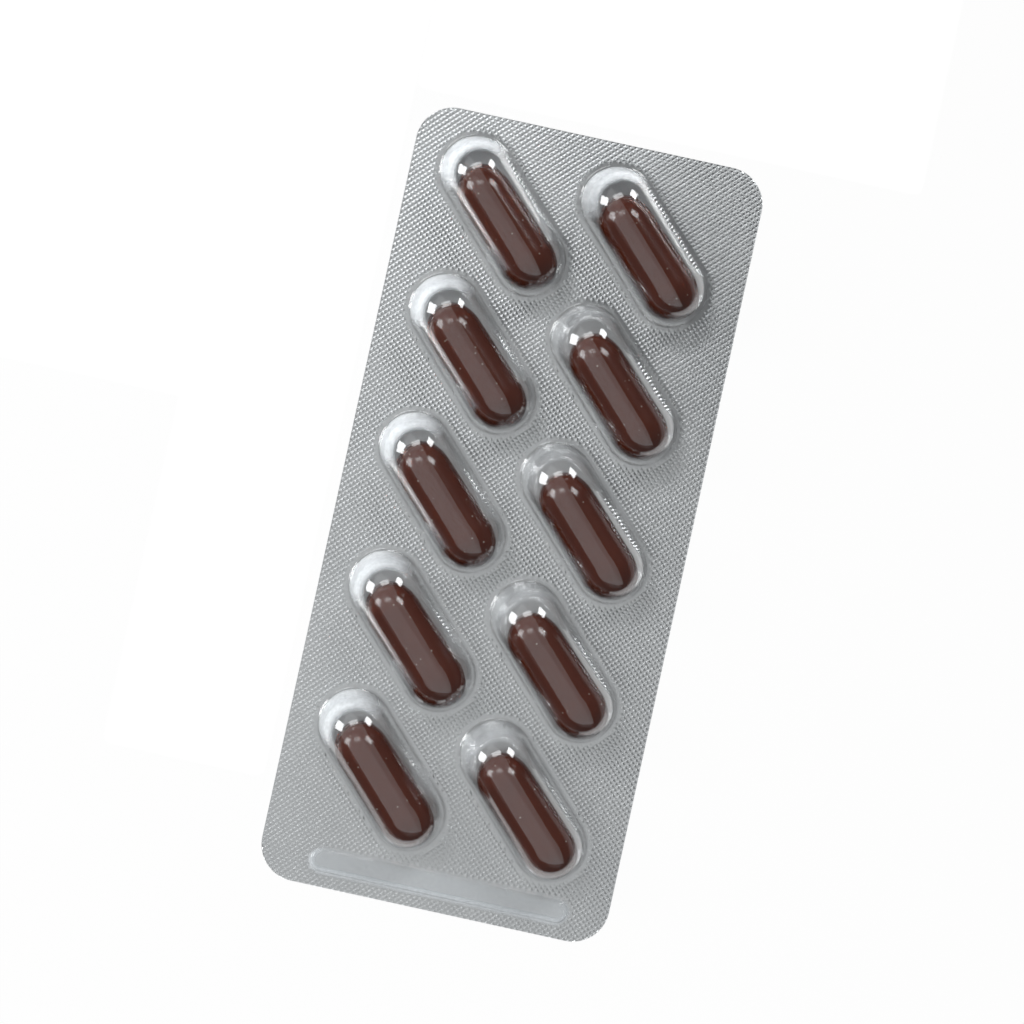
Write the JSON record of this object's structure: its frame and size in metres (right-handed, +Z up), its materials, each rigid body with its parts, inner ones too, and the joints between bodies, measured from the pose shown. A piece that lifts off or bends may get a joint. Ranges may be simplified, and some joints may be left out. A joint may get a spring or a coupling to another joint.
{
  "type": "blister pack of softgel capsules",
  "caption": "Clear formed blister strip with slanted domed pockets, an oblong soft capsule in each, closed by a thin aluminium foil, with a blank code strip.",
  "frame": {"origin": "middle of the foil's underside, which is the bottom centre of the bounding box", "axes": "+Z up out of the pockets, +Y along the strip away from the code strip, +X to the right with the code strip nearest"},
  "size_m": [0.06, 0.134, 0.0105],
  "materials": {
    "clear_film": "gloss",
    "foil": "satin",
    "softgel": "gloss"
  },
  "bodies": {
    "root": {"forming_film": "clear_film", "lidding_foil": "foil", "softgel_01": "softgel", "softgel_02": "softgel", "softgel_03": "softgel", "softgel_04": "softgel", "softgel_05": "softgel", "softgel_06": "softgel", "softgel_07": "softgel", "softgel_08": "softgel", "softgel_09": "softgel", "softgel_10": "softgel"}
  },
  "joints": []
}
